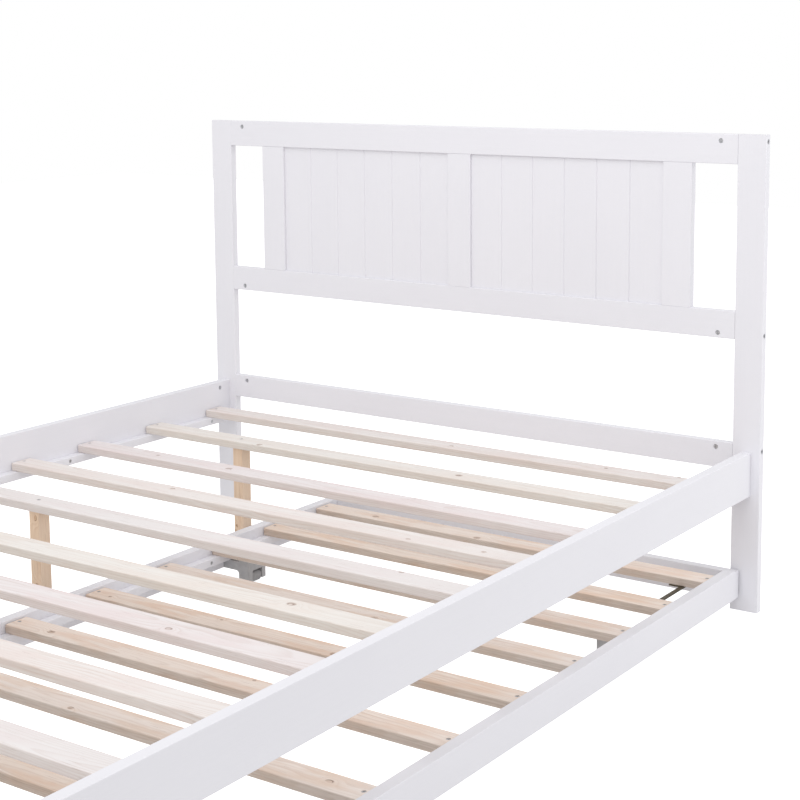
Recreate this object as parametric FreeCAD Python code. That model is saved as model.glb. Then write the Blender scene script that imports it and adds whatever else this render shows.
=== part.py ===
import FreeCAD, Part
import os
from math import pi

from FreeCAD import Vector

# Trundle bed: a slatted bed frame with a panelled headboard, and a low slatted
# trundle that rolls out sideways from under it.  Millimetres, +Z up.
# +X is the side the trundle rolls out to, +Y is the head end.
# The origin is on the floor, under the middle of the bed.

# --- bed frame -------------------------------------------------------------
BED_WIDTH = 1460.0
RAIL_LENGTH = 1965.0            # clear length between head posts and foot posts
HEAD_HEIGHT = 985.0
BOARD = 18.5                    # thickness of the headboard and footboard timber
POST_WIDTH = 61.0
EDGE_ROUND = 1.5                # rounded arris on painted timber

TOP_RAIL_BOTTOM = 924.5
MIDDLE_RAIL = (567.5, 625.0)    # bottom and top
BOTTOM_RAIL = (296.5, 351.5)

STILE_WIDTH = 65.0
CENTRE_STILE_WIDTH = 60.0
PANEL_OUTER = 569.0             # from the middle to the outer edge of an end stile
PANEL_RECESS = 6.0
PANEL_THICK = 9.0
PANEL_TONGUE = 6.0
PLANKS_PER_PANEL = 6
PLANK_GROOVE = 3.0              # width of the V groove between planks
GROOVE_PLAY = 0.3

SIDE_RAIL_THICK = 21.0
SIDE_RAIL_HEIGHT = 91.5
SIDE_RAIL_TOP = 336.5
SIDE_RAIL_INSET = 20.0          # from the post's outer edge to the rail's outer face

SLAT_WIDTH = 54.5
SLAT_THICK = 17.5
SLAT_ROUND = 3.0
SLAT_END_PLAY = 2.0
SLAT_TOP = 275.0
LEDGER_WIDTH = 20.0
LEDGER_HEIGHT = 18.0
# The slats are laid by hand: distances of their centre lines from the head posts
BED_SLATS = [66.0, 278.0, 498.0, 694.0, 895.0, 1112.0, 1290.0, 1500.0, 1710.0, 1900.0]

LEG_X = -415.0                  # the row of legs stands clear behind the trundle
LEG_SIZE = (27.0, 29.5)
LEG_SLATS = [2, 5, 8]

# --- trundle ---------------------------------------------------------------
TRUNDLE_FRONT_X = 690.0
TRUNDLE_WIDTH = 1048.0
END_GAP = 5.0                   # between the trundle and the posts, at each end
TRUNDLE_RAIL_THICK = 24.0
TRUNDLE_RAIL = (28.0, 89.6)
END_BOARD_THICK = 21.0
END_BOARD = (29.0, 87.5)
TRUNDLE_SLAT_TOP = 84.5
TRUNDLE_SLATS = [83.0, 276.0, 451.0, 634.0, 829.0, 1038.0, 1262.0, 1486.0, 1690.0, 1885.0]

ROLLER_SLATS = [3, 8]           # slats that the roller housings reach under
ROLLER_FROM_RAIL = 58.0         # rail's inner face to the middle of the roller
ROLLER_TOWARDS_END = 40.0       # roller's middle from the slat's middle
HOUSING_SIZE = (28.0, 58.0)
HOUSING_BOTTOM = 7.0
HOUSING_ARM_BOTTOM = 29.0
HOUSING_ARCH = 8.0              # radius under the arm, where it meets the block
HOUSING_ROUND = 2.0
ROLLER_RADIUS = 13.5
ROLLER_WIDTH = 30.0
ROLLER_SLOT = 32.0
ROLLER_SLOT_TOP = 30.0
ROLLER_RIM = 2.0
ROLLER_HUB_RADIUS = 5.0
ROLLER_FACE_DISH = 2.0
AXLE_RADIUS = 2.5
AXLE_PLAY = 0.06

BRACE_FROM_RAIL = 66.0          # rail's inner face to the brace plate's middle
BRACE_PLATE = (34.0, 57.0)
BRACE_BAR_WIDTH = 9.0
BRACE_BAR_LENGTH = 150.0
BRACE_THICK = 3.0
BRACE_PLATE_START = 53.0        # from the head posts to the plate

# --- fasteners -------------------------------------------------------------
BOLT_RADIUS = 3.0
BOLT_HEAD_RADIUS = 5.0
BOLT_HEAD_HEIGHT = 4.5
BOLT_SOCKET_RADIUS = 2.3
BOLT_SOCKET_DEPTH = 2.6
BOLT_SUNK = 1.0                 # bolt head below the timber's face
BOLT_HOLE_PLAY = 0.3
NUT_RADIUS = 5.0
NUT_LENGTH = 14.0
NUT_HOLE_DEPTH = 16.0
NUT_SUNK = 0.8
NUT_SLOT = 1.4
NUT_FROM_JOINT = 37.0
BOLT_PAST_NUT = 7.0
DOWEL_RADIUS = 4.0
DOWEL_LENGTH = 30.0
DOWEL_PLAY = 0.15
SCREW_RADIUS = 2.0
SCREW_HEAD_RADIUS = 4.0
SCREW_HEAD_HEIGHT = 2.6
SCREW_PLAY = 0.15
SCREW_SUNK = 0.6
SCREW_LENGTH = 32.0
SCREW_TIP = 4.0
LEG_SCREW_LENGTH = 50.0
CORNER_SCREW_LENGTH = 50.0
LEDGER_SCREWS = (92.0, 567.0)   # from each end of a bed ledger
TRUNDLE_LEDGER_SCREWS = (65.0, 475.0)
SLAT_SCREW_FROM_END = 11.0

# --- worked out from the above ---------------------------------------------
HALF_WIDTH = BED_WIDTH / 2
HEAD_Y = RAIL_LENGTH / 2
FOOT_Y = -RAIL_LENGTH / 2
POST_INNER = HALF_WIDTH - POST_WIDTH
SIDE_OUTER = HALF_WIDTH - SIDE_RAIL_INSET
SIDE_INNER = SIDE_OUTER - SIDE_RAIL_THICK
SIDE_RAIL_BOTTOM = SIDE_RAIL_TOP - SIDE_RAIL_HEIGHT
SLAT_BOTTOM = SLAT_TOP - SLAT_THICK
TRUNDLE_BACK_X = TRUNDLE_FRONT_X - TRUNDLE_WIDTH
TRUNDLE_FRONT_INNER = TRUNDLE_FRONT_X - TRUNDLE_RAIL_THICK
TRUNDLE_BACK_INNER = TRUNDLE_BACK_X + TRUNDLE_RAIL_THICK
TRUNDLE_HEAD_Y = HEAD_Y - END_GAP
TRUNDLE_FOOT_Y = FOOT_Y + END_GAP
TRUNDLE_SLAT_BOTTOM = TRUNDLE_SLAT_TOP - SLAT_THICK

ALONG = {"X": Vector(1, 0, 0), "Y": Vector(0, 1, 0), "Z": Vector(0, 0, 1)}


def box(x, y, z):
    """A plain box from three (low, high) pairs."""
    size = [high - low for low, high in (x, y, z)]
    return Part.makeBox(*size, Vector(x[0], y[0], z[0]))


def board(x, y, z, grain, radius=EDGE_ROUND):
    """A length of timber whose four long edges are rounded."""
    solid = box(x, y, z)
    long_edges = []
    for edge in solid.Edges:
        direction = edge.tangentAt(edge.FirstParameter)
        if abs(direction.dot(ALONG[grain])) > 0.99:
            long_edges.append(edge)
    return solid.makeFillet(radius, long_edges)


def rod(start, direction, length, radius):
    return Part.makeCylinder(radius, length, start, direction)


def cut_all(solid, tools):
    for tool in tools:
        solid = solid.cut(tool)
    return solid


def mirror_y(shape):
    return shape.mirror(Vector(0, 0, 0), ALONG["Y"])


# --- fasteners: each gives the piece, and the hole it needs ------------------
def hexagon_prism(start, direction, depth, radius):
    """A hexagonal socket, cut along direction from start."""
    side = Vector(0, 0, 1) if abs(direction.z) < 0.5 else Vector(1, 0, 0)
    corners = []
    for step in range(7):
        turn = FreeCAD.Rotation(direction, 60.0 * step)
        corners.append(start + turn.multVec(side) * radius)
    return Part.Face(Part.makePolygon(corners)).extrude(direction * depth)


def bolt(face_point, inward, length):
    """A socket-head bolt, its head just below face_point."""
    head_start = face_point + inward * BOLT_SUNK
    head = rod(head_start, inward, BOLT_HEAD_HEIGHT, BOLT_HEAD_RADIUS)
    shank = rod(head_start + inward * BOLT_HEAD_HEIGHT, inward,
                length - BOLT_HEAD_HEIGHT, BOLT_RADIUS)
    socket = hexagon_prism(head_start, inward, BOLT_SOCKET_DEPTH, BOLT_SOCKET_RADIUS)
    return head.fuse(shank).cut(socket)


def bolt_hole(face_point, inward, length):
    head_depth = BOLT_SUNK + BOLT_HEAD_HEIGHT
    head = rod(face_point, inward, head_depth, BOLT_HEAD_RADIUS + BOLT_HOLE_PLAY)
    shank = rod(face_point, inward, BOLT_SUNK + length + 1, BOLT_RADIUS + BOLT_HOLE_PLAY)
    return head.fuse(shank)


def barrel_nut(face_point, inward, bolt_line, bolt_depth):
    """A slotted cylinder across the timber, with a cross hole for its bolt.

    bolt_line is the bolt's direction, and bolt_depth its distance from the face.
    """
    start = face_point + inward * NUT_SUNK
    body = rod(start, inward, NUT_LENGTH, NUT_RADIUS)
    slot_side = bolt_line.cross(inward)
    corner = start - bolt_line * (NUT_SLOT / 2) - slot_side * NUT_RADIUS
    slot = Part.Face(Part.makePolygon([
        corner,
        corner + bolt_line * NUT_SLOT,
        corner + bolt_line * NUT_SLOT + slot_side * (2 * NUT_RADIUS),
        corner + slot_side * (2 * NUT_RADIUS),
        corner,
    ])).extrude(inward * NUT_SLOT)
    thread_start = face_point + inward * bolt_depth - bolt_line * (2 * NUT_RADIUS)
    thread = rod(thread_start, bolt_line, 4 * NUT_RADIUS, BOLT_RADIUS + BOLT_HOLE_PLAY / 2)
    return body.cut(slot).cut(thread)


def nut_hole(face_point, inward):
    return rod(face_point, inward, NUT_HOLE_DEPTH, NUT_RADIUS + BOLT_HOLE_PLAY / 2)


def dowel(joint_point, direction):
    start = joint_point - direction * (DOWEL_LENGTH / 2)
    return rod(start, direction, DOWEL_LENGTH, DOWEL_RADIUS)


def dowel_hole(joint_point, direction):
    length = DOWEL_LENGTH + 2
    start = joint_point - direction * (length / 2)
    return rod(start, direction, length, DOWEL_RADIUS + DOWEL_PLAY)


def screw(face_point, inward, length=SCREW_LENGTH):
    """A countersunk screw with a pointed tip and a cross in its head."""
    head_start = face_point + inward * SCREW_SUNK
    head = Part.makeCone(SCREW_HEAD_RADIUS, SCREW_RADIUS, SCREW_HEAD_HEIGHT,
                         head_start, inward)
    shank_length = length - SCREW_HEAD_HEIGHT - SCREW_TIP
    shank = rod(head_start + inward * SCREW_HEAD_HEIGHT, inward, shank_length,
                SCREW_RADIUS)
    tip = Part.makeCone(SCREW_RADIUS, 0, SCREW_TIP,
                        head_start + inward * (SCREW_HEAD_HEIGHT + shank_length), inward)
    recess = hexagon_prism(head_start, inward, SCREW_HEAD_HEIGHT / 2, SCREW_RADIUS * 0.7)
    return head.fuse([shank, tip]).cut(recess)


def screw_hole(face_point, inward, length=SCREW_LENGTH):
    top_radius = SCREW_HEAD_RADIUS + SCREW_PLAY
    mouth = rod(face_point, inward, SCREW_SUNK, top_radius)
    sink = Part.makeCone(top_radius, SCREW_RADIUS + SCREW_PLAY, SCREW_HEAD_HEIGHT,
                         face_point + inward * SCREW_SUNK, inward)
    shank = rod(face_point, inward, SCREW_SUNK + length + 1, SCREW_RADIUS + SCREW_PLAY)
    return mouth.fuse([sink, shank])


def fixings(piece_maker, hole_maker, places):
    """The pieces and the holes for a list of argument tuples."""
    pieces = [piece_maker(*place) for place in places]
    holes = [hole_maker(*place) for place in places]
    return pieces, holes


# --- where the fasteners go --------------------------------------------------
INTO_LEFT = Vector(1, 0, 0)
INTO_RIGHT = Vector(-1, 0, 0)
INTO_BACK = Vector(0, 1, 0)
INTO_FRONT = Vector(0, -1, 0)
DOWN = Vector(0, 0, -1)
UP = Vector(0, 0, 1)

RAIL_BOLT_LENGTH = POST_WIDTH + NUT_FROM_JOINT + BOLT_PAST_NUT - BOLT_SUNK
SIDE_BOLT_LENGTH = BOARD + NUT_FROM_JOINT + BOLT_PAST_NUT - BOLT_SUNK
HEAD_MIDDLE_Y = HEAD_Y + BOARD / 2
FOOT_MIDDLE_Y = FOOT_Y - BOARD / 2
# height of the bolt and of the dowel beside it, for each cross rail
HEAD_JOINTS = [
    (HEAD_HEIGHT - 14.0, TOP_RAIL_BOTTOM + 16.0),
    (MIDDLE_RAIL[0] + 11.0, MIDDLE_RAIL[1] - 18.0),
    (BOTTOM_RAIL[1] - 12.0, BOTTOM_RAIL[0] + 16.0),
]
SIDE_JOINTS = [
    (SIDE_RAIL_TOP - 15.0, SIDE_RAIL_BOTTOM + 47.0),
    (SIDE_RAIL_BOTTOM + 24.0, None),
]
# in the foot posts these bolts pass below the side rails' bolts
FOOT_JOINTS = [
    (SIDE_RAIL_TOP - 33.0, SIDE_RAIL_BOTTOM + 35.0),
    (SIDE_RAIL_BOTTOM + 12.0, None),
]
SIDE_MIDDLE_X = SIDE_OUTER - SIDE_RAIL_THICK / 2


def cross_rail_fixings(joints, middle_y, nut_face_y, nut_inward):
    """Bolts, barrel nuts, dowels and their holes at both ends of cross rails."""
    bolts, nuts, dowels, holes = [], [], [], []
    for side, inward in ((-1, INTO_LEFT), (1, INTO_RIGHT)):
        for bolt_z, dowel_z in joints:
            head = Vector(side * HALF_WIDTH, middle_y, bolt_z)
            nut = Vector(side * (POST_INNER - NUT_FROM_JOINT), nut_face_y, bolt_z)
            bolts.append(bolt(head, inward, RAIL_BOLT_LENGTH))
            nuts.append(barrel_nut(nut, nut_inward, inward, BOARD / 2))
            holes += [bolt_hole(head, inward, RAIL_BOLT_LENGTH), nut_hole(nut, nut_inward)]
            if dowel_z is not None:
                joint = Vector(side * POST_INNER, middle_y, dowel_z)
                dowels.append(dowel(joint, inward))
                holes.append(dowel_hole(joint, inward))
    return bolts, nuts, dowels, holes


def side_rail_fixings():
    """Bolts through the posts into the ends of the side rails, with nuts and dowels."""
    bolts, nuts, dowels, holes = [], [], [], []
    for side, nut_inward in ((-1, INTO_RIGHT), (1, INTO_LEFT)):
        for end, inward in ((1, INTO_FRONT), (-1, INTO_BACK)):
            for bolt_z, dowel_z in SIDE_JOINTS:
                head = Vector(side * SIDE_MIDDLE_X, end * (HEAD_Y + BOARD), bolt_z)
                nut_y = end * (HEAD_Y - NUT_FROM_JOINT)
                nut = Vector(side * SIDE_INNER, nut_y, bolt_z)
                bolts.append(bolt(head, inward, SIDE_BOLT_LENGTH))
                nuts.append(barrel_nut(nut, nut_inward, inward, SIDE_RAIL_THICK / 2))
                holes += [bolt_hole(head, inward, SIDE_BOLT_LENGTH),
                          nut_hole(nut, nut_inward)]
                if dowel_z is not None:
                    joint = Vector(side * SIDE_MIDDLE_X, end * HEAD_Y, dowel_z)
                    dowels.append(dowel(joint, inward))
                    holes.append(dowel_hole(joint, inward))
    return bolts, nuts, dowels, holes


def stile_dowels():
    """Dowels that pin the three stiles between the top and the middle rail."""
    outer_x = PANEL_OUTER - STILE_WIDTH / 2
    dowels, holes = [], []
    for x in (-outer_x, 0.0, outer_x):
        for z in (TOP_RAIL_BOTTOM, MIDDLE_RAIL[1]):
            joint = Vector(x, HEAD_MIDDLE_Y, z)
            dowels.append(dowel(joint, UP))
            holes.append(dowel_hole(joint, UP))
    return dowels, holes


def ledger_places(inner_x, inward, ledger_z, distances, head_y, foot_y):
    """Screw heads on a ledger's inner face; distances are from each of its ends."""
    places = []
    for distance in distances:
        for y in (head_y - distance, foot_y + distance):
            places.append((Vector(inner_x, y, ledger_z), inward))
    return places


def slat_y(distances, number):
    """Middle of a slat, counted from 1 at the head end."""
    return HEAD_Y - distances[number - 1]


def slat_end_places(distances, low_x, high_x, top):
    places = []
    for number in range(1, len(distances) + 1):
        for x in (low_x + SLAT_SCREW_FROM_END, high_x - SLAT_SCREW_FROM_END):
            places.append((Vector(x, slat_y(distances, number), top), DOWN))
    return places


# --- headboard and footboard -------------------------------------------------
def panel_groove():
    """The groove in the rails and stiles that both panels sit in."""
    front = HEAD_Y + PANEL_RECESS - GROOVE_PLAY
    back = HEAD_Y + PANEL_RECESS + PANEL_THICK + GROOVE_PLAY
    depth = PANEL_TONGUE + GROOVE_PLAY
    grooves = []
    for low, high in panel_fields():
        grooves.append(box((low - depth, high + depth), (front, back),
                           (MIDDLE_RAIL[1] - depth, TOP_RAIL_BOTTOM + depth)))
    return grooves


def panel_fields():
    outer = PANEL_OUTER - STILE_WIDTH
    inner = CENTRE_STILE_WIDTH / 2
    return [(-outer, -inner), (inner, outer)]


def headboard_panel(low, high):
    """A tongued panel with V grooves that divide it into planks."""
    front = HEAD_Y + PANEL_RECESS
    panel = box((low - PANEL_TONGUE, high + PANEL_TONGUE), (front, front + PANEL_THICK),
                (MIDDLE_RAIL[1] - PANEL_TONGUE, TOP_RAIL_BOTTOM + PANEL_TONGUE))
    plank = (high - low) / PLANKS_PER_PANEL
    half = PLANK_GROOVE / 2
    bottom = MIDDLE_RAIL[1] - 2 * PANEL_TONGUE
    height = TOP_RAIL_BOTTOM + 2 * PANEL_TONGUE - bottom
    for count in range(1, PLANKS_PER_PANEL):
        x = low + plank * count
        outline = Part.makePolygon([
            Vector(x - half, front, bottom),
            Vector(x, front + half, bottom),
            Vector(x + half, front, bottom),
            Vector(x + half, front - 1, bottom),
            Vector(x - half, front - 1, bottom),
            Vector(x - half, front, bottom),
        ])
        panel = panel.cut(Part.Face(outline).extrude(Vector(0, 0, height)))
    return panel


def headboard(holes):
    """Posts, cross rails, stiles and panels of the head end."""
    depth = (HEAD_Y, HEAD_Y + BOARD)
    between = (-POST_INNER, POST_INNER)
    stile_height = (MIDDLE_RAIL[1], TOP_RAIL_BOTTOM)
    stile_inner = PANEL_OUTER - STILE_WIDTH
    half_centre = CENTRE_STILE_WIDTH / 2
    groove = panel_groove()
    plain = {
        "headboard_post_left": board((-HALF_WIDTH, -POST_INNER), depth,
                                     (0, HEAD_HEIGHT), "Z"),
        "headboard_post_right": board((POST_INNER, HALF_WIDTH), depth,
                                      (0, HEAD_HEIGHT), "Z"),
        "headboard_bottom_rail": board(between, depth, BOTTOM_RAIL, "X"),
    }
    grooved = {
        "headboard_top_rail": board(between, depth, (TOP_RAIL_BOTTOM, HEAD_HEIGHT), "X"),
        "headboard_middle_rail": board(between, depth, MIDDLE_RAIL, "X"),
        "headboard_stile_left": board((-PANEL_OUTER, -stile_inner), depth,
                                      stile_height, "Z", 0.8),
        "headboard_stile_centre": board((-half_centre, half_centre), depth,
                                        stile_height, "Z", 0.8),
        "headboard_stile_right": board((stile_inner, PANEL_OUTER), depth,
                                       stile_height, "Z", 0.8),
    }
    parts = {name: cut_all(solid, holes) for name, solid in plain.items()}
    for name, solid in grooved.items():
        parts[name] = cut_all(solid, groove + holes)
    left, right = panel_fields()
    parts["headboard_panel_left"] = headboard_panel(*left)
    parts["headboard_panel_right"] = headboard_panel(*right)
    return parts


def footboard(holes):
    """Two short posts and one rail, level with the side rails."""
    depth = (FOOT_Y - BOARD, FOOT_Y)
    rail_z = (SIDE_RAIL_BOTTOM, SIDE_RAIL_TOP)
    solids = {
        "footboard_post_left": board((-HALF_WIDTH, -POST_INNER), depth,
                                     (0, SIDE_RAIL_TOP), "Z"),
        "footboard_post_right": board((POST_INNER, HALF_WIDTH), depth,
                                      (0, SIDE_RAIL_TOP), "Z"),
        "footboard_rail": board((-POST_INNER, POST_INNER), depth, rail_z, "X"),
    }
    return {name: cut_all(solid, holes) for name, solid in solids.items()}


# --- side rails, ledgers, slats and legs -------------------------------------
def side_rails(holes):
    along = (FOOT_Y, HEAD_Y)
    height = (SIDE_RAIL_BOTTOM, SIDE_RAIL_TOP)
    parts = {}
    for name, side in (("left", -1), ("right", 1)):
        rail_x = sorted((side * SIDE_INNER, side * SIDE_OUTER))
        rail = board(rail_x, along, height, "Y")
        parts["side_rail_" + name] = cut_all(rail, holes)
        ledger_x = sorted((side * SIDE_INNER, side * (SIDE_INNER - LEDGER_WIDTH)))
        ledger = board(ledger_x, along, (SLAT_BOTTOM - LEDGER_HEIGHT, SLAT_BOTTOM), "Y")
        parts["bed_ledger_" + name] = cut_all(ledger, holes)
    return parts


def slats(prefix, distances, low_x, high_x, top, holes):
    """One rounded slat across each stated distance from the head posts."""
    parts = {}
    for number in range(1, len(distances) + 1):
        y = slat_y(distances, number)
        slat = board((low_x + SLAT_END_PLAY, high_x - SLAT_END_PLAY),
                     (y - SLAT_WIDTH / 2, y + SLAT_WIDTH / 2),
                     (top - SLAT_THICK, top), "X", SLAT_ROUND)
        near = [hole for hole in holes if abs(hole.BoundBox.Center.y - y) < SLAT_WIDTH]
        parts[prefix + str(number)] = cut_all(slat, near)
    return parts


def support_legs(holes):
    half_x, half_y = LEG_SIZE[0] / 2, LEG_SIZE[1] / 2
    parts = {}
    for count, number in enumerate(LEG_SLATS, 1):
        y = slat_y(BED_SLATS, number)
        leg = board((LEG_X - half_x, LEG_X + half_x), (y - half_y, y + half_y),
                    (0, SLAT_BOTTOM), "Z")
        parts["support_leg_" + str(count)] = cut_all(leg, holes)
    return parts


# --- trundle -----------------------------------------------------------------
def trundle_frame(holes):
    """Long rails between two end boards, with a ledger along each rail."""
    end_inner = TRUNDLE_HEAD_Y - END_BOARD_THICK
    along = (-end_inner, end_inner)
    across = (TRUNDLE_BACK_X, TRUNDLE_FRONT_X)
    front = (TRUNDLE_FRONT_INNER, TRUNDLE_FRONT_X)
    back = (TRUNDLE_BACK_X, TRUNDLE_BACK_INNER)
    ledger_z = (TRUNDLE_SLAT_BOTTOM - LEDGER_HEIGHT, TRUNDLE_SLAT_BOTTOM)
    front_ledger = (TRUNDLE_FRONT_INNER - LEDGER_WIDTH, TRUNDLE_FRONT_INNER)
    back_ledger = (TRUNDLE_BACK_INNER, TRUNDLE_BACK_INNER + LEDGER_WIDTH)
    solids = {
        "trundle_front_rail": board(front, along, TRUNDLE_RAIL, "Y"),
        "trundle_back_rail": board(back, along, TRUNDLE_RAIL, "Y"),
        "trundle_head_board": board(across, (end_inner, TRUNDLE_HEAD_Y), END_BOARD, "X"),
        "trundle_foot_board": board(across, (TRUNDLE_FOOT_Y, -end_inner), END_BOARD, "X"),
        "trundle_ledger_front": board(front_ledger, along, ledger_z, "Y"),
        "trundle_ledger_back": board(back_ledger, along, ledger_z, "Y"),
    }
    return {name: cut_all(solid, holes) for name, solid in solids.items()}


def roller_places():
    """Middle of each roller on the floor plan, by side and end."""
    head_y = slat_y(TRUNDLE_SLATS, ROLLER_SLATS[0]) + ROLLER_TOWARDS_END
    foot_y = slat_y(TRUNDLE_SLATS, ROLLER_SLATS[1]) - ROLLER_TOWARDS_END
    front_x = TRUNDLE_FRONT_INNER - ROLLER_FROM_RAIL
    back_x = TRUNDLE_BACK_INNER + ROLLER_FROM_RAIL
    return {
        "front_head": (front_x, head_y),
        "front_foot": (front_x, foot_y),
        "back_head": (back_x, head_y),
        "back_foot": (back_x, foot_y),
    }


def roller_housing(x, y, side):
    """A block slotted for the roller, with an arched arm under the ledger.

    side is 1 where the rail lies beyond the roller in +X, and -1 where it lies in -X.
    """
    half_x, half_y = HOUSING_SIZE[0] / 2, HOUSING_SIZE[1] / 2
    along = (y - half_y, y + half_y)
    block = box((x - half_x, x + half_x), along, (HOUSING_BOTTOM, TRUNDLE_SLAT_BOTTOM))
    arm_x = sorted((x, x + side * ROLLER_FROM_RAIL))
    arm = box(arm_x, along, (HOUSING_ARM_BOTTOM, TRUNDLE_SLAT_BOTTOM - LEDGER_HEIGHT))
    body = block.fuse(arm).removeSplitter()
    arch_edges, free_edges = [], []
    for edge in body.Edges:
        centre = edge.BoundBox.Center
        at_arm = abs(centre.x - (x + side * half_x)) < 0.01
        if at_arm and abs(centre.z - HOUSING_ARM_BOTTOM) < 0.01:
            arch_edges.append(edge)
        elif edge.BoundBox.ZLength > TRUNDLE_SLAT_BOTTOM - HOUSING_BOTTOM - 1:
            free_edges.append(edge)
    body = body.makeFillet(HOUSING_ARCH, arch_edges).makeFillet(HOUSING_ROUND, free_edges)
    slot = box((x - half_x, x + half_x), (y - ROLLER_SLOT / 2, y + ROLLER_SLOT / 2),
               (HOUSING_BOTTOM - 1, ROLLER_SLOT_TOP))
    axle_hole = rod(Vector(x, y - half_y - 1, ROLLER_RADIUS), ALONG["Y"],
                    2 * half_y + 2, AXLE_RADIUS + AXLE_PLAY)
    return cut_all(body, [slot, axle_hole])


def roller_axle(x, y):
    """A plain pin, flush with both ends of the housing."""
    return rod(Vector(x, y - HOUSING_SIZE[1] / 2, ROLLER_RADIUS), ALONG["Y"],
               HOUSING_SIZE[1], AXLE_RADIUS)


def roller(x, y):
    """A solid roller with a rounded rim and dished faces round its hub."""
    half = ROLLER_WIDTH / 2
    start = Vector(x, y - half, ROLLER_RADIUS)
    wheel = rod(start, ALONG["Y"], ROLLER_WIDTH, ROLLER_RADIUS)
    rim_edges = [edge for edge in wheel.Edges
                 if abs(edge.Length - 2 * pi * ROLLER_RADIUS) < 0.1]
    wheel = wheel.makeFillet(ROLLER_RIM, rim_edges)
    ring_outer = ROLLER_RADIUS - 2 * ROLLER_RIM
    for y_start in (y - half - 1, y + half - ROLLER_FACE_DISH):
        ring_start = Vector(x, y_start, ROLLER_RADIUS)
        depth = ROLLER_FACE_DISH + 1
        ring = rod(ring_start, ALONG["Y"], depth, ring_outer)
        hub = rod(ring_start, ALONG["Y"], depth, ROLLER_HUB_RADIUS)
        wheel = wheel.cut(ring.cut(hub))
    bore = rod(start - ALONG["Y"], ALONG["Y"], ROLLER_WIDTH + 2, AXLE_RADIUS + AXLE_PLAY)
    return wheel.cut(bore)


def corner_brace(x, y):
    """A steel plate under the first slat, with a bar on to the second slat.

    x is the middle of the plate, and y its end nearest the end board.
    """
    z = (TRUNDLE_SLAT_BOTTOM - BRACE_THICK, TRUNDLE_SLAT_BOTTOM)
    half = BRACE_PLATE[0] / 2
    plate = box((x - half, x + half), (y - BRACE_PLATE[1], y), z)
    bar_end = y - BRACE_PLATE[1] - BRACE_BAR_LENGTH
    bar = box((x + half - BRACE_BAR_WIDTH, x + half), (bar_end, y - BRACE_PLATE[1]), z)
    return plate.fuse(bar).removeSplitter()


def corner_braces():
    """One brace at each corner, the bar on the side nearer the rail."""
    y = HEAD_Y - BRACE_PLATE_START
    middle_x = (TRUNDLE_FRONT_INNER + TRUNDLE_BACK_INNER) / 2
    front = corner_brace(TRUNDLE_FRONT_INNER - BRACE_FROM_RAIL, y)
    back = front.mirror(Vector(middle_x, 0, 0), ALONG["X"])
    return [front, back, mirror_y(front), mirror_y(back)]


def trundle_corner_places():
    """Screws through the end boards into the ends of the trundle's rails."""
    places = []
    rail_x = (TRUNDLE_FRONT_X - TRUNDLE_RAIL_THICK / 2,
              TRUNDLE_BACK_X + TRUNDLE_RAIL_THICK / 2)
    third = (END_BOARD[1] - END_BOARD[0]) / 3
    for x in rail_x:
        for z in (END_BOARD[0] + third, END_BOARD[1] - third / 2):
            for y, inward in ((TRUNDLE_HEAD_Y, INTO_FRONT), (TRUNDLE_FOOT_Y, INTO_BACK)):
                places.append((Vector(x, y, z), inward, CORNER_SCREW_LENGTH))
    return places


# --- the whole bed -----------------------------------------------------------
def bed_parts():
    bolts, nuts, dowels, frame_holes = cross_rail_fixings(
        HEAD_JOINTS, HEAD_MIDDLE_Y, HEAD_Y, INTO_BACK)
    foot = cross_rail_fixings(FOOT_JOINTS, FOOT_MIDDLE_Y, FOOT_Y, INTO_FRONT)
    side = side_rail_fixings()
    stile_pins, stile_holes = stile_dowels()

    ledger_z = SLAT_BOTTOM - LEDGER_HEIGHT / 2
    ledger_inner = SIDE_INNER - LEDGER_WIDTH
    ledger_screws, ledger_holes = fixings(screw, screw_hole, (
        ledger_places(-ledger_inner, INTO_RIGHT, ledger_z, LEDGER_SCREWS, HEAD_Y, FOOT_Y)
        + ledger_places(ledger_inner, INTO_LEFT, ledger_z, LEDGER_SCREWS, HEAD_Y, FOOT_Y)))
    leg_places = []
    for number in LEG_SLATS:
        top = Vector(LEG_X, slat_y(BED_SLATS, number), SLAT_TOP)
        leg_places.append((top, DOWN, LEG_SCREW_LENGTH))
    slat_screws, slat_holes = fixings(screw, screw_hole, leg_places + slat_end_places(
        BED_SLATS, -SIDE_INNER, SIDE_INNER, SLAT_TOP))

    parts = headboard(frame_holes + side[3] + stile_holes)
    parts.update(footboard(foot[3] + side[3]))
    parts.update(side_rails(side[3] + ledger_holes + slat_holes))
    parts.update(slats("bed_slat_", BED_SLATS, -SIDE_INNER, SIDE_INNER, SLAT_TOP,
                       slat_holes))
    parts.update(support_legs(slat_holes))
    parts["frame_bolts"] = Part.makeCompound(bolts + foot[0] + side[0])
    parts["barrel_nuts"] = Part.makeCompound(nuts + foot[1] + side[1])
    parts["wood_dowels"] = Part.makeCompound(dowels + foot[2] + side[2] + stile_pins)
    parts["bed_screws"] = Part.makeCompound(ledger_screws + slat_screws)
    return parts


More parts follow.
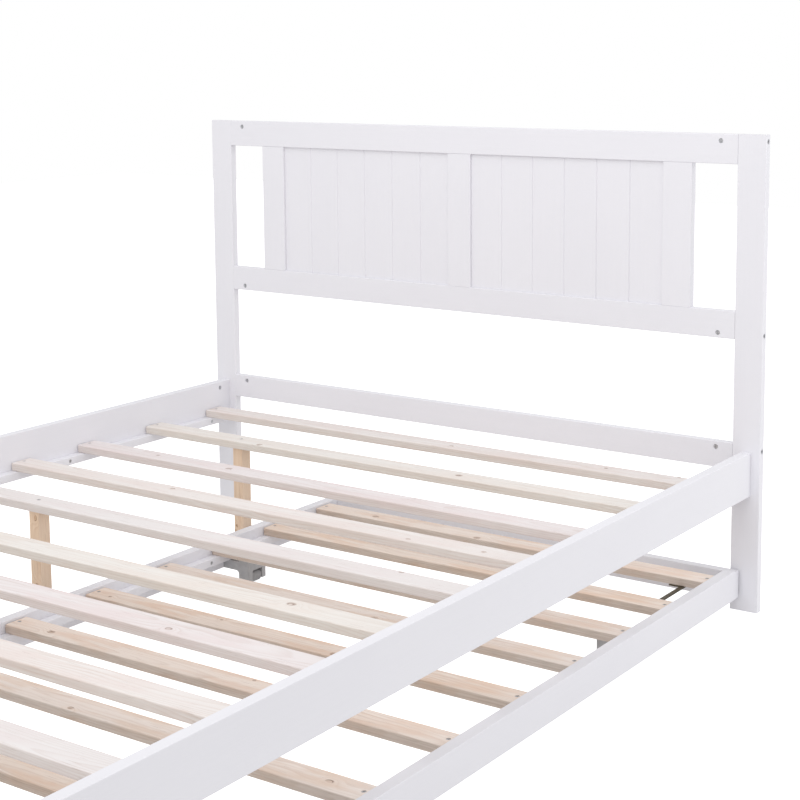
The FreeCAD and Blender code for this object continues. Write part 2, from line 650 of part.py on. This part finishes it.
def trundle_parts():
    ledger_z = TRUNDLE_SLAT_BOTTOM - LEDGER_HEIGHT / 2
    ends = (TRUNDLE_HEAD_Y - END_BOARD_THICK, TRUNDLE_FOOT_Y + END_BOARD_THICK)
    ledger_screws = (
        ledger_places(TRUNDLE_BACK_INNER + LEDGER_WIDTH, INTO_RIGHT, ledger_z,
                      TRUNDLE_LEDGER_SCREWS, *ends)
        + ledger_places(TRUNDLE_FRONT_INNER - LEDGER_WIDTH, INTO_LEFT, ledger_z,
                        TRUNDLE_LEDGER_SCREWS, *ends))
    frame_screws, frame_holes = fixings(
        screw, screw_hole, ledger_screws + trundle_corner_places())
    slat_screws, slat_holes = fixings(screw, screw_hole, slat_end_places(
        TRUNDLE_SLATS, TRUNDLE_BACK_INNER, TRUNDLE_FRONT_INNER, TRUNDLE_SLAT_TOP))

    parts = trundle_frame(frame_holes + slat_holes)
    parts.update(slats("trundle_slat_", TRUNDLE_SLATS, TRUNDLE_BACK_INNER,
                       TRUNDLE_FRONT_INNER, TRUNDLE_SLAT_TOP, slat_holes))
    places = roller_places()
    for side, direction in (("front", 1), ("back", -1)):
        housings = [roller_housing(*place, direction) for name, place in places.items()
                    if name.startswith(side)]
        parts["roller_housings_" + side] = Part.makeCompound(housings)
    for name, place in places.items():
        parts["roller_" + name] = roller(*place)
    parts["roller_axles"] = Part.makeCompound([roller_axle(*p) for p in places.values()])
    parts["corner_braces"] = Part.makeCompound(corner_braces())
    parts["trundle_screws"] = Part.makeCompound(frame_screws + slat_screws)
    return parts


def main():
    os.makedirs("parts", exist_ok=True)
    parts = bed_parts()
    parts.update(trundle_parts())
    for name, shape in parts.items():
        if not shape.isValid():
            raise ValueError(name + " is not a valid shape")
        shape.exportStep(os.path.join("parts", name + ".step"))
    print(len(parts), "parts")


main()
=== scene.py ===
import random
from collections import namedtuple
from math import radians

import bpy
from mathutils import Euler, Matrix, Vector


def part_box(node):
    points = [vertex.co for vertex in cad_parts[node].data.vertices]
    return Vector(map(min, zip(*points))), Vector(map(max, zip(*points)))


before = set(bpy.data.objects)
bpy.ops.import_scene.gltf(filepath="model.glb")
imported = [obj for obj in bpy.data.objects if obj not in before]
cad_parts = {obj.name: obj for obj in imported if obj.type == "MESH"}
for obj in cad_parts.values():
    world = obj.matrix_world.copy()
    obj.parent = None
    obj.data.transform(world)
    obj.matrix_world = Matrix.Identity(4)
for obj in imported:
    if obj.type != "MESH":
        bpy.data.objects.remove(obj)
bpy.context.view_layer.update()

MM = 0.001

# --- camera, metres and degrees ----------------------------------------------
CAMERA_PLACE = (2.043, -2.146, 1.168)
CAMERA_TURN_LEFT = 34.66        # from +Y
CAMERA_LOOK_DOWN = 7.49
CAMERA_TILT = 0.38              # clockwise about its own axis
CAMERA_LENS = 75.22             # millimetres
CAMERA_SHIFT = (-0.019, -0.17)

# --- light -------------------------------------------------------------------
SKY_LIGHT = 0.80                # given off, and then as the camera sees it
SKY_SEEN = 1.0
FLOOR_GLOW = 0.32
FLOOR_GLOW_SEEN = 0.95
FLOOR_REACH = 9.0
# name: place, the point it faces, size in metres, power in watts
SOFTBOXES = {
    "head_softbox": ((0.3, -0.2, 2.6), (-0.3, 1.0, 0.4), 1.6, 13),
    "side_softbox": ((2.5, 1.4, 1.1), (0.7, 0.8, 0.1), 1.0, 10),
    "front_softbox": ((0.9, -3.6, 2.4), (0.0, 0.2, 0.4), 2.2, 38),
}

# --- colours, linear ---------------------------------------------------------
WHITE = (1.0, 1.0, 1.0, 1.0)
PAINT = (0.800, 0.792, 0.832)
PAINT_SHADE = (0.782, 0.774, 0.816)
ZINC_DULL = (0.42, 0.43, 0.46)
ZINC_BRIGHT = (0.66, 0.66, 0.67)
PIN_DARK = (0.30, 0.30, 0.32)
PIN_BRIGHT = (0.52, 0.52, 0.53)
DARK_COAT = (0.105, 0.088, 0.058)
RUBBED_COAT = (0.26, 0.225, 0.17)
NYLON = (0.300, 0.300, 0.310)
DUST = (0.42, 0.41, 0.40)
HOUSING_DARK = (0.38, 0.38, 0.39)
HOUSING_PALE = (0.45, 0.45, 0.46)
FLOOR_DARK = (0.50, 0.50, 0.50)
FLOOR_PALE = (0.52, 0.52, 0.52)

# A wood's colours: early wood, late wood, knots, and the warm patches between.
Wood = namedtuple("Wood", "pale dark knot flush")
BED_PINE = [
    Wood((0.820, 0.775, 0.755), (0.690, 0.585, 0.530), (0.320, 0.215, 0.170),
         (0.785, 0.695, 0.665)),
    Wood((0.800, 0.765, 0.760), (0.680, 0.595, 0.565), (0.330, 0.230, 0.185),
         (0.770, 0.705, 0.700)),
    Wood((0.815, 0.780, 0.745), (0.695, 0.605, 0.545), (0.320, 0.215, 0.170),
         (0.790, 0.720, 0.670)),
    Wood((0.805, 0.755, 0.755), (0.660, 0.560, 0.530), (0.305, 0.205, 0.170),
         (0.775, 0.680, 0.675)),
]
TRUNDLE_PINE = [
    Wood((0.870, 0.770, 0.700), (0.650, 0.500, 0.410), (0.250, 0.150, 0.105),
         (0.780, 0.600, 0.490)),
    Wood((0.880, 0.790, 0.730), (0.680, 0.535, 0.445), (0.260, 0.160, 0.110),
         (0.790, 0.630, 0.520)),
    Wood((0.850, 0.740, 0.660), (0.630, 0.470, 0.370), (0.235, 0.140, 0.095),
         (0.770, 0.570, 0.440)),
]
LEG_PINE = Wood((0.790, 0.630, 0.490), (0.600, 0.410, 0.270), (0.230, 0.130, 0.075),
                (0.740, 0.560, 0.420))
DOWEL_BEECH = Wood((0.660, 0.500, 0.350), (0.560, 0.400, 0.270), (0.300, 0.190, 0.120),
                   (0.640, 0.470, 0.330))
# How dark the faces that look along Y are painted, and the tint of it: partly the rougher sawn
# wood, partly painted shade, deeper on the trundle slats under the bed.
BED_EDGE_SAWN_AND_SHADED = 0.84                 # colour kept on a bed slat's faces along Y: sawn edges, and painted shade
TRUNDLE_EDGE_SAWN_AND_SHADED = 0.66
EDGE_SHADE_TINT = (1.0, 0.97, 0.93)

# --- how pine grows, millimetres ---------------------------------------------
BED_SEED = 10
TRUNDLE_SEED = 40
LEG_SEED = 70
DOWEL_SEED = 5
YEAR_RING = (2.6, 4.2)          # least and most
HEART_ACROSS = 26               # board's middle to the trunk's, at most
HEART_DEPTH = (22, 60)
LEAN_ACROSS = 0.012             # for each millimetre along the board, at most
LEAN_DEPTH = 0.016
WAVER_ACROSS = (-7, 7)
WAVER_DEPTH = (-8, 8)
KNOT_COUNTS = (1, 2, 2, 3)      # each as likely as the next
KNOT_ALONG = 0.92               # shares of the board's half length and half width
KNOT_ACROSS = 0.75
KNOT_RADIUS = (3.2, 7.5)
KNOT_STRETCH = 1.35             # longer along the board than across
KNOT_REACH = 2.1                # rings bend this many radii away
KNOT_SWELL = 1.5                # and by this many radii at the knot
KNOT_RIM = (0.75, 1.1)          # where the knot's colour fades, in radii

# A colour mix node's own sockets, among those for numbers and vectors.
MIX_FIRST, MIX_SECOND, MIX_RESULT = 6, 7, 2


class Graph:
    """One material's nodes.  Lengths inside the graph are millimetres."""

    def __init__(self, name, grain="X", origin=(0.0, 0.0, 0.0)):
        self.material = bpy.data.materials.new(name)
        self.material.use_nodes = True
        self.tree = self.material.node_tree
        self.tree.nodes.clear()
        self.shader = self.add("ShaderNodeBsdfPrincipled")
        output = self.add("ShaderNodeOutputMaterial")
        self.tree.links.new(self.shader.outputs["BSDF"], output.inputs["Surface"])
        self.find_place(grain, origin)

    def find_place(self, grain, origin):
        """Splits the place into along, across and depth, counted from origin."""
        place = self.add("ShaderNodeTexCoord").outputs["Object"]
        moved = self.vector("SUBTRACT", place, origin)
        scaled = self.vector("SCALE", moved, scale=1 / MM)
        split = self.add("ShaderNodeSeparateXYZ")
        self.join(scaled, split.inputs[0])
        order = {"X": "XYZ", "Y": "YXZ", "Z": "ZXY"}[grain]
        self.along, self.across, self.depth = [split.outputs[axis] for axis in order]

    def facing_y(self):
        """How squarely a face looks along +Y or -Y, from 0 to 1."""
        split = self.add("ShaderNodeSeparateXYZ")
        self.join(self.add("ShaderNodeTexCoord").outputs["Normal"], split.inputs[0])
        return self.math("ABSOLUTE", split.outputs["Y"])

    def add(self, kind, **settings):
        node = self.tree.nodes.new(kind)
        for name, value in settings.items():
            setattr(node, name, value)
        return node

    def join(self, value, socket):
        """Links an output to the socket, or sets the socket to a plain value."""
        if isinstance(value, bpy.types.NodeSocket):
            self.tree.links.new(value, socket)
        else:
            socket.default_value = value

    def math(self, operation, *values, clamp=False):
        node = self.add("ShaderNodeMath", operation=operation, use_clamp=clamp)
        for value, socket in zip(values, node.inputs):
            self.join(value, socket)
        return node.outputs[0]

    def plus(self, total, *others):
        for other in others:
            total = self.math("ADD", total, other)
        return total

    def times(self, first, second):
        return self.math("MULTIPLY", first, second)

    def hypotenuse(self, first, second):
        """The distance across two lengths that are square to each other."""
        squares = [self.math("POWER", length, 2.0) for length in (first, second)]
        return self.math("SQRT", self.plus(*squares))

    def vector(self, operation, *values, scale=None):
        node = self.add("ShaderNodeVectorMath", operation=operation)
        for value, socket in zip(values, node.inputs):
            self.join(value, socket)
        if scale is not None:
            node.inputs["Scale"].default_value = scale
        return node.outputs[0]

    def noise(self, along, across=None, detail=2.0, roughness=0.5):
        """Noise from about 0.25 to 0.75, with features of the given size.

        They are as deep as they are wide, and as wide as they are long unless
        across is given.
        """
        across = along if across is None else across
        place = self.add("ShaderNodeCombineXYZ")
        parts = (self.along, self.across, self.depth)
        for part, size, socket in zip(parts, (along, across, across), place.inputs):
            self.join(self.math("DIVIDE", part, size), socket)
        node = self.add("ShaderNodeTexNoise")
        self.join(place.outputs[0], node.inputs["Vector"])
        node.inputs["Scale"].default_value = 1.0
        node.inputs["Detail"].default_value = detail
        node.inputs["Roughness"].default_value = roughness
        return node.outputs["Fac"]

    def spread(self, value, source, target=(0.0, 1.0)):
        """Maps the source range to the target range, held at both ends."""
        node = self.add("ShaderNodeMapRange", clamp=True)
        for item, socket in zip((value, *source, *target), node.inputs):
            self.join(item, socket)
        return node.outputs[0]

    def mix(self, share, first, second, blend="MIX"):
        node = self.add("ShaderNodeMix", data_type="RGBA", blend_type=blend)
        self.join(share, node.inputs[0])
        for value, place in ((first, MIX_FIRST), (second, MIX_SECOND)):
            if not isinstance(value, bpy.types.NodeSocket):
                value = (*value, 1.0)
            self.join(value, node.inputs[place])
        return node.outputs[MIX_RESULT]

    def bump(self, height, distance, below=None):
        """A bump of the given depth, on top of another bump."""
        node = self.add("ShaderNodeBump")
        node.inputs["Strength"].default_value = 1.0
        node.inputs["Distance"].default_value = distance * MM
        self.join(height, node.inputs["Height"])
        if below is not None:
            self.join(below, node.inputs["Normal"])
        return node.outputs[0]

    def finish(self, colour, roughness, normal=None, **plain):
        """Joins colour, roughness and bump to the shader, and sets plain values."""
        self.join(colour, self.shader.inputs["Base Color"])
        self.join(roughness, self.shader.inputs["Roughness"])
        if normal is not None:
            self.join(normal, self.shader.inputs["Normal"])
        for name, value in plain.items():
            self.shader.inputs[name.replace("_", " ")].default_value = value
        return self.material


# --- paint -------------------------------------------------------------------
def white_paint(name, grain):
    """Satin white paint on planed timber, with the grain just felt through it."""
    graph = Graph(name, grain)
    cloud = graph.noise(along=260, across=120, detail=3)
    streak = graph.noise(along=180, across=3.2, detail=3, roughness=0.6)
    pore = graph.noise(along=30, across=0.7)
    skin = graph.noise(along=2.6, across=2.2)
    tone = graph.plus(graph.times(cloud, 0.6), graph.times(streak, 0.4))
    colour = graph.mix(graph.spread(tone, (0.35, 0.65)), PAINT_SHADE, PAINT)
    roughness = graph.spread(graph.plus(streak, skin), (0.7, 1.3), (0.36, 0.48))
    normal = graph.bump(skin, 0.05)
    normal = graph.bump(streak, 0.12, normal)
    normal = graph.bump(pore, 0.025, normal)
    return graph.finish(colour, roughness, normal, IOR=1.46)


# --- wood --------------------------------------------------------------------
def from_heart(graph, draw):
    """The distance from the trunk's middle line.

    The line leans and wavers a little, so that the rings run out in arches.
    """
    middle_across = draw.uniform(-HEART_ACROSS, HEART_ACROSS)
    middle_depth = draw.choice((-1, 1)) * draw.uniform(*HEART_DEPTH)
    lean_across = graph.times(graph.along, draw.uniform(-LEAN_ACROSS, LEAN_ACROSS))
    lean_depth = graph.times(graph.along, draw.uniform(-LEAN_DEPTH, LEAN_DEPTH))
    waver_across = graph.spread(graph.noise(along=340, across=60), (0.2, 0.8), WAVER_ACROSS)
    waver_depth = graph.spread(graph.noise(along=420, across=75), (0.2, 0.8), WAVER_DEPTH)
    across = graph.plus(graph.across, middle_across, lean_across, waver_across)
    depth = graph.plus(graph.depth, middle_depth, lean_depth, waver_depth)
    return graph.hypotenuse(across, depth)


def round_knots(graph, draw, distance, board_half):
    """Bends the rings round a few knots.

    Returns the new distance from the heart, and 1 inside the knots and 0 outside.
    """
    half_length, half_width = board_half
    knots = 0.0
    for _ in range(draw.choice(KNOT_COUNTS)):
        knot_along = draw.uniform(-KNOT_ALONG, KNOT_ALONG) * half_length
        knot_across = draw.uniform(-KNOT_ACROSS, KNOT_ACROSS) * half_width
        radius = draw.uniform(*KNOT_RADIUS)
        along = graph.math("SUBTRACT", graph.along, knot_along)
        across = graph.math("SUBTRACT", graph.across, knot_across)
        from_knot = graph.hypotenuse(graph.math("DIVIDE", along, KNOT_STRETCH), across)
        reach = graph.math("DIVIDE", from_knot, radius * KNOT_REACH)
        swell = graph.math("EXPONENT", graph.times(graph.times(reach, reach), -1.0))
        distance = graph.plus(distance, graph.times(swell, radius * KNOT_SWELL))
        rim = [radius * share for share in KNOT_RIM]
        knots = graph.math("MAXIMUM", knots, graph.spread(from_knot, rim, (1.0, 0.0)))
    return distance, knots


def wood_colour(graph, wood, ring, late, fibre, knots):
    """Early and late wood with fibres, warm patches, pitch streaks and knots."""
    patch = graph.noise(along=210, across=45)
    streak = graph.noise(along=420, across=7)
    blush = graph.noise(along=130, across=26, detail=3, roughness=0.55)
    pitch = graph.spread(graph.noise(along=46, across=1.3, detail=1), (0.70, 0.76))

    share = graph.times(late, graph.spread(patch, (0.3, 0.7), (0.16, 0.58)))
    share = graph.plus(share, graph.spread(fibre, (0.3, 0.7), (-0.08, 0.14)))
    share = graph.math("ADD", share, graph.spread(streak, (0.52, 0.72), (0.0, 0.34)),
                       clamp=True)
    colour = graph.mix(share, wood.pale, wood.dark)
    colour = graph.mix(graph.spread(blush, (0.48, 0.66), (0.0, 0.75)), colour, wood.flush)
    colour = graph.mix(graph.times(pitch, 0.45), colour, wood.knot)
    knot_tone = graph.mix(graph.spread(ring, (0.2, 0.9)), wood.dark, wood.knot)
    return graph.mix(graph.times(knots, 0.85), colour, knot_tone)


def darken_edges_with_painted_shade(graph, colour, sawn_edge_and_shade):
    """Darkens the faces that look along Y, which on a slat are its sawn edges: partly the
    rougher sawn wood, partly painted shade.
    """
    edge = graph.spread(graph.facing_y(), (0.55, 0.95))
    # Patches along the edge, in the sawn wood and the painted shade alike.
    patchy_edge = graph.spread(graph.noise(along=38, across=4, detail=3), (0.3, 0.7), (0.7, 1.0))
    shade = [sawn_edge_and_shade * part for part in EDGE_SHADE_TINT]
    return graph.mix(graph.times(edge, patchy_edge), colour, shade, "MULTIPLY")


def bare_wood(name, grain, node, seed, wood, sawn_edge_and_shade=1.0):
    """Bare planed wood for one node: year rings cut along the trunk, with knots."""
    draw = random.Random(seed)
    middle, board_half = middle_and_half(node, grain)
    graph = Graph(name, grain, middle)
    distance, knots = round_knots(graph, draw, from_heart(graph, draw), board_half)

    # Each ring darkens slowly to its late wood and pales quickly after it.
    ring = graph.math("FRACT", graph.math("DIVIDE", distance, draw.uniform(*YEAR_RING)))
    rising = graph.spread(ring, (0.25, 0.86))
    falling = graph.spread(ring, (0.93, 1.0), (1.0, 0.0))
    late = graph.times(graph.times(rising, rising), falling)
    fibre = graph.noise(along=90, across=0.9, detail=3, roughness=0.6)
    pore = graph.noise(along=14, across=0.45)

    colour = wood_colour(graph, wood, ring, late, fibre, knots)
    # Painted shade, with the sawn wood's own darkness, on the faces along Y.
    colour = darken_edges_with_painted_shade(graph, colour, sawn_edge_and_shade)
    roughness = graph.spread(graph.plus(fibre, late), (0.3, 1.5), (0.66, 0.54))
    normal = graph.bump(late, 0.09)
    normal = graph.bump(fibre, 0.14, normal)
    normal = graph.bump(pore, 0.05, normal)
    return graph.finish(colour, roughness, normal, IOR=1.42)


# --- metal and plastic -------------------------------------------------------
def zinc_plate():
    """Bright zinc plating, slightly mottled and scuffed."""
    graph = Graph("zinc_plate")
    mottle = graph.noise(1.6, detail=3)
    scuff = graph.noise(along=4, across=0.25)
    colour = graph.mix(graph.spread(mottle, (0.35, 0.65)), ZINC_DULL, ZINC_BRIGHT)
    roughness = graph.spread(graph.plus(mottle, scuff), (0.7, 1.3), (0.22, 0.46))
    return graph.finish(colour, roughness, graph.bump(scuff, 0.02), Metallic=1.0)


def pin_steel():
    """Drawn steel wire, with fine lines along it."""
    graph = Graph("pin_steel", "Y")
    line = graph.noise(along=8, across=0.2)
    colour = graph.mix(line, PIN_DARK, PIN_BRIGHT)
    roughness = graph.spread(line, (0.3, 0.7), (0.25, 0.45))
    return graph.finish(colour, roughness, graph.bump(line, 0.01), Metallic=1.0)


def dark_steel():
    """Steel with a thin bronze-black coat, rubbed in places."""
    graph = Graph("dark_steel", "Y")
    grit = graph.noise(0.7)
    rubbed = graph.noise(along=30, across=6, detail=4, roughness=0.6)
    rubbed = graph.times(graph.spread(rubbed, (0.58, 0.72)), 0.6)
    colour = graph.mix(rubbed, DARK_COAT, RUBBED_COAT)
    roughness = graph.spread(grit, (0.3, 0.7), (0.42, 0.6))
    return graph.finish(colour, roughness, graph.bump(grit, 0.04), Metallic=0.55)


def grey_nylon():
    """Moulded grey nylon, a little dusty."""
    graph = Graph("grey_nylon")
    dust = graph.times(graph.spread(graph.noise(5, detail=3), (0.45, 0.75)), 0.35)
    grit = graph.noise(0.5)
    colour = graph.mix(dust, NYLON, DUST)
    roughness = graph.spread(grit, (0.3, 0.7), (0.45, 0.62))
    return graph.finish(colour, roughness, graph.bump(grit, 0.03), IOR=1.53)


def housing_plastic():
    """Moulded light grey plastic with a fine spark texture."""
    graph = Graph("housing_plastic")
    grit = graph.noise(0.45)
    cloud = graph.spread(graph.noise(22), (0.35, 0.65))
    colour = graph.mix(cloud, HOUSING_DARK, HOUSING_PALE)
    roughness = graph.spread(grit, (0.3, 0.7), (0.42, 0.58))
    return graph.finish(colour, roughness, graph.bump(grit, 0.04), IOR=1.5)


# --- dressing the CAD nodes --------------------------------------------------
def middle_and_half(node, long_axis):
    """A node's middle in metres, and its half length and half width in millimetres."""
    low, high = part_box(node)
    half = (high - low) / 2 / MM
    along, across = {"X": (half.x, half.y), "Z": (half.z, half.x)}[long_axis]
    return tuple((low + high) / 2), (along, across)


def dress(node, material):
    """Gives every material slot of a CAD node the one material."""
    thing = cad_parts[node]
    if not thing.material_slots:
        thing.data.materials.append(material)
    for material_slot in thing.material_slots:
        material_slot.material = material


def dress_slats(prefix, palette, seed, sawn_edge_and_shade):
    """Every slat whose name starts with prefix gets its own cut of pine."""
    names = sorted(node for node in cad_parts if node.startswith(prefix))
    for count, node in enumerate(names):
        wood = palette[count % len(palette)]
        dress(node, bare_wood("pine_" + node, "X", node, seed + count, wood, sawn_edge_and_shade))


def dress_legs_and_dowels():
    for count in (1, 2, 3):
        node = "support_leg_" + str(count)
        dress(node, bare_wood("pine_" + node, "Z", node, LEG_SEED + count, LEG_PINE))
    dress("wood_dowels", bare_wood("beech", "X", "wood_dowels", DOWEL_SEED, DOWEL_BEECH))


def dress_other_pieces():
    """Paint, metal and plastic.  A node takes the first row with a word of its name."""
    rows = (
        (("post", "stile", "panel"), white_paint("paint_upright", "Z")),
        (("side_rail", "ledger", "front_rail", "back_rail"),
         white_paint("paint_lengthwise", "Y")),
        (("headboard", "footboard", "head_board", "foot_board"),
         white_paint("paint_crosswise", "X")),
        (("bolts", "nuts", "screws"), zinc_plate()),
        (("housings",), housing_plastic()),
        (("axles",), pin_steel()),
        (("roller",), grey_nylon()),
        (("braces",), dark_steel()),
    )
    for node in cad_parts:
        fitting = [material for words, material in rows if any(word in node for word in words)]
        if fitting:
            dress(node, fitting[0])


# --- stage -------------------------------------------------------------------
def seen_brighter(tree, given_off, seen):
    """A strength that is one value for the light given off, another for the camera."""
    path = tree.nodes.new("ShaderNodeLightPath")
    ramp = tree.nodes.new("ShaderNodeMapRange")
    ramp.inputs["To Min"].default_value = given_off
    ramp.inputs["To Max"].default_value = seen
    tree.links.new(path.outputs["Is Camera Ray"], ramp.inputs["Value"])
    return ramp.outputs[0]


def floor_sheet():
    """A pale sheet, lit from within so that it stays white under the bed."""
    graph = Graph("studio_floor")
    colour = graph.mix(graph.spread(graph.noise(900), (0.3, 0.7)), FLOOR_DARK, FLOOR_PALE)
    glow = seen_brighter(graph.tree, FLOOR_GLOW, FLOOR_GLOW_SEEN)
    graph.join(glow, graph.shader.inputs["Emission Strength"])
    return graph.finish(colour, 0.9, Emission_Color=WHITE)


def make_floor():
    """A wide sheet, level with the feet."""
    mesh = bpy.data.meshes.new("studio_floor")
    signs = [(-1, -1), (1, -1), (1, 1), (-1, 1)]
    corners = [(x * FLOOR_REACH, y * FLOOR_REACH, 0) for x, y in signs]
    mesh.from_pydata(corners, [], [(0, 1, 2, 3)])
    floor = bpy.data.objects.new("studio_floor", mesh)
    bpy.context.scene.collection.objects.link(floor)
    floor.data.materials.append(floor_sheet())


def make_softbox(name, place, target, size, power):
    """A square softbox at place, facing target."""
    light = bpy.data.lights.new(name, "AREA")
    light.size = size
    light.energy = power
    holder = bpy.data.objects.new(name, light)
    holder.location = place
    direction = Vector(target) - Vector(place)
    holder.rotation_euler = direction.to_track_quat("-Z", "Y").to_euler()
    bpy.context.scene.collection.objects.link(holder)


def make_sky():
    world = bpy.data.worlds.new("studio")
    world.use_nodes = True
    background = world.node_tree.nodes["Background"]
    background.inputs["Color"].default_value = WHITE
    strength = seen_brighter(world.node_tree, SKY_LIGHT, SKY_SEEN)
    world.node_tree.links.new(strength, background.inputs["Strength"])
    bpy.context.scene.world = world


def make_camera():
    data = bpy.data.cameras.new("camera")
    data.lens = CAMERA_LENS
    data.shift_x, data.shift_y = CAMERA_SHIFT
    camera = bpy.data.objects.new("camera", data)
    camera.location = CAMERA_PLACE
    level = Euler((radians(90 - CAMERA_LOOK_DOWN), 0, radians(CAMERA_TURN_LEFT))).to_matrix()
    tilt = Matrix.Rotation(radians(-CAMERA_TILT), 3, "Z")
    camera.rotation_euler = (level @ tilt).to_euler()
    bpy.context.scene.collection.objects.link(camera)
    bpy.context.scene.camera = camera


make_camera()
make_sky()
for name, (place, target, size, power) in SOFTBOXES.items():
    make_softbox(name, place, target, size, power)
make_floor()
bpy.context.scene.view_settings.view_transform = "Standard"

dress_other_pieces()
dress_slats("bed_slat_", BED_PINE, BED_SEED, BED_EDGE_SAWN_AND_SHADED)
dress_slats("trundle_slat_", TRUNDLE_PINE, TRUNDLE_SEED, TRUNDLE_EDGE_SAWN_AND_SHADED)
dress_legs_and_dowels()
